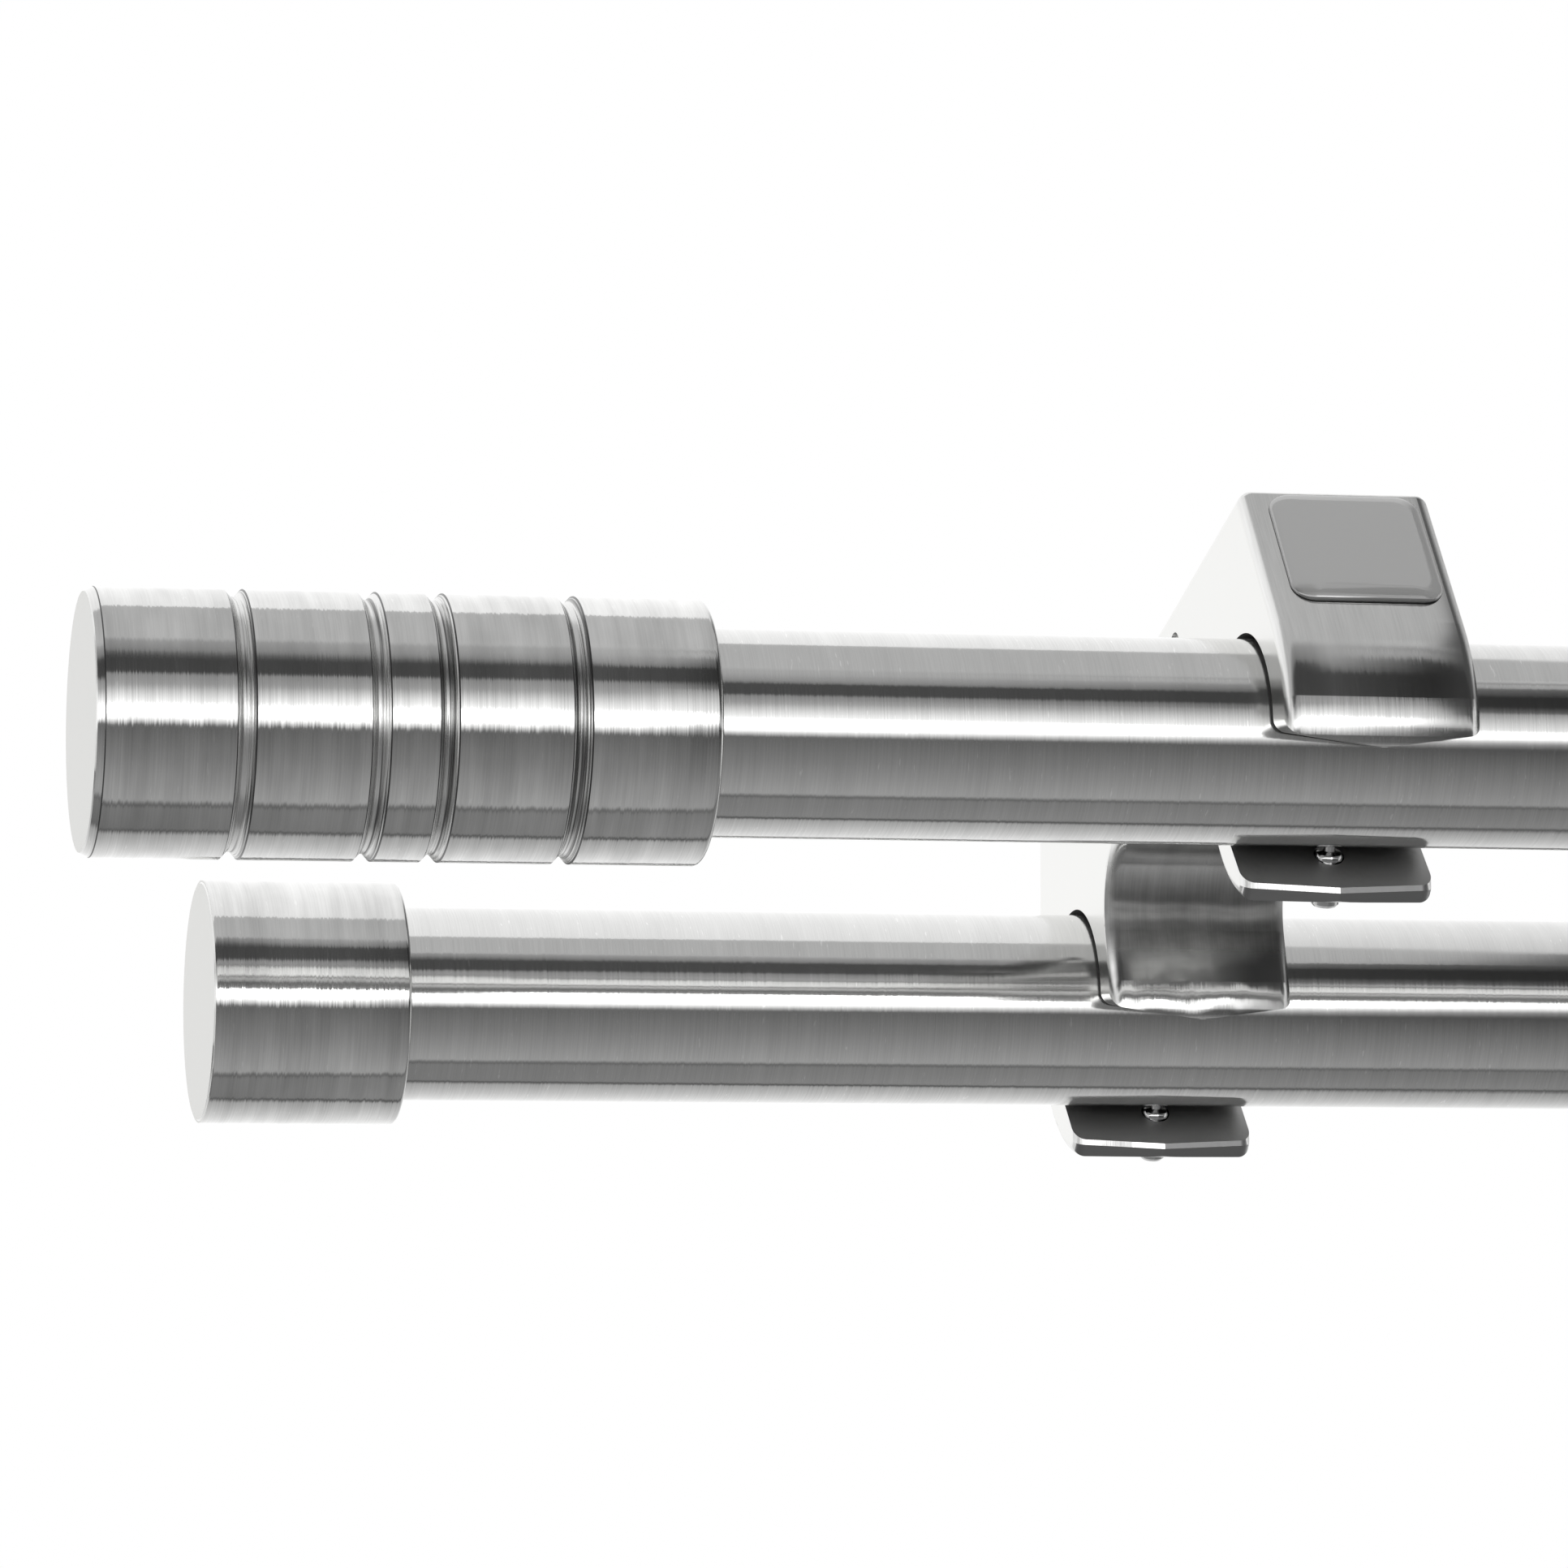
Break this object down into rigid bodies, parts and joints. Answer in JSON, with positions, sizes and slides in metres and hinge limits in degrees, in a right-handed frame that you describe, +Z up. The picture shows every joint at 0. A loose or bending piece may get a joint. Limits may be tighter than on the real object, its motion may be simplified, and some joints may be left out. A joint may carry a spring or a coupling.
{
  "type": "double curtain pole",
  "caption": "Double curtain pole for a ceiling: a front pole with grooved cylinder finials and a rear pole with plain caps, held in cast hook brackets over ceiling channels.",
  "frame": {"origin": "centre of the four ceiling screw holes, in the ceiling plane, midway between the brackets and between the poles", "axes": "+X along the poles to the viewer's right, +Y to the back, +Z up into the ceiling"},
  "size_m": [1.245, 0.1015, 0.0382],
  "materials": {
    "pole_steel": "stainless steel tube, brushed round its girth",
    "turned_steel": "turned stainless steel with fine lathe lines",
    "bracket_casting": "die-cast metal, nickel plated and brushed along its length",
    "badge_resin": "clear domed resin over silver-grey foil, bare",
    "channel_steel": "folded zinc-plated steel",
    "screw_steel": "bright zinc-plated steel"
  },
  "bodies": {
    "root": {"front_pole": "pole_steel", "rear_pole": "pole_steel", "left_finial": "turned_steel", "right_finial": "turned_steel", "left_cap": "turned_steel", "right_cap": "turned_steel", "left_bracket": "bracket_casting", "right_bracket": "bracket_casting", "left_badge": "badge_resin", "right_badge": "badge_resin", "left_ceiling_channel": "channel_steel", "right_ceiling_channel": "channel_steel", "left_pole_screws": "screw_steel", "right_pole_screws": "screw_steel", "left_channel_screw": "screw_steel", "right_channel_screw": "screw_steel", "finial_screws": "screw_steel", "cap_screws": "screw_steel"}
  },
  "joints": []
}
